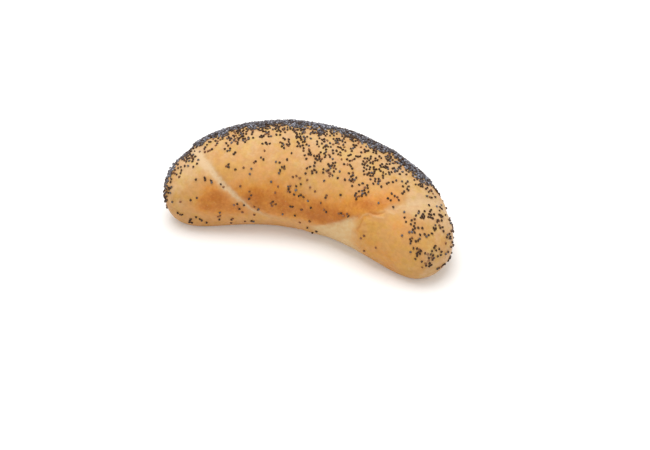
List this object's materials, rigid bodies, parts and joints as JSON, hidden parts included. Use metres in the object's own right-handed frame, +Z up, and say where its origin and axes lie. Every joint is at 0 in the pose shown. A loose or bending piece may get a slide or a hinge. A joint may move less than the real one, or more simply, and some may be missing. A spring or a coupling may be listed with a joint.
{
  "type": "bread roll",
  "caption": "Whole crescent-shaped white bread roll with a seamed golden crust and a seeded crown, lying on its flat base.",
  "frame": {"origin": "middle of the roll's outline box, on the plane of its flat base", "axes": "+X end to end, towards the end that reaches a little lower; +Y out of the curved back, so the hollow side of the crescent faces -Y; +Z up"},
  "size_m": [0.146, 0.0652, 0.0446],
  "materials": {
    "crust": "golden baked crust, soft satin, pale along the seams and browner on the bulges",
    "poppy_seed": "slate blue-black poppy seed, matte"
  },
  "bodies": {
    "root": {"roll": "crust"}
  },
  "joints": []
}
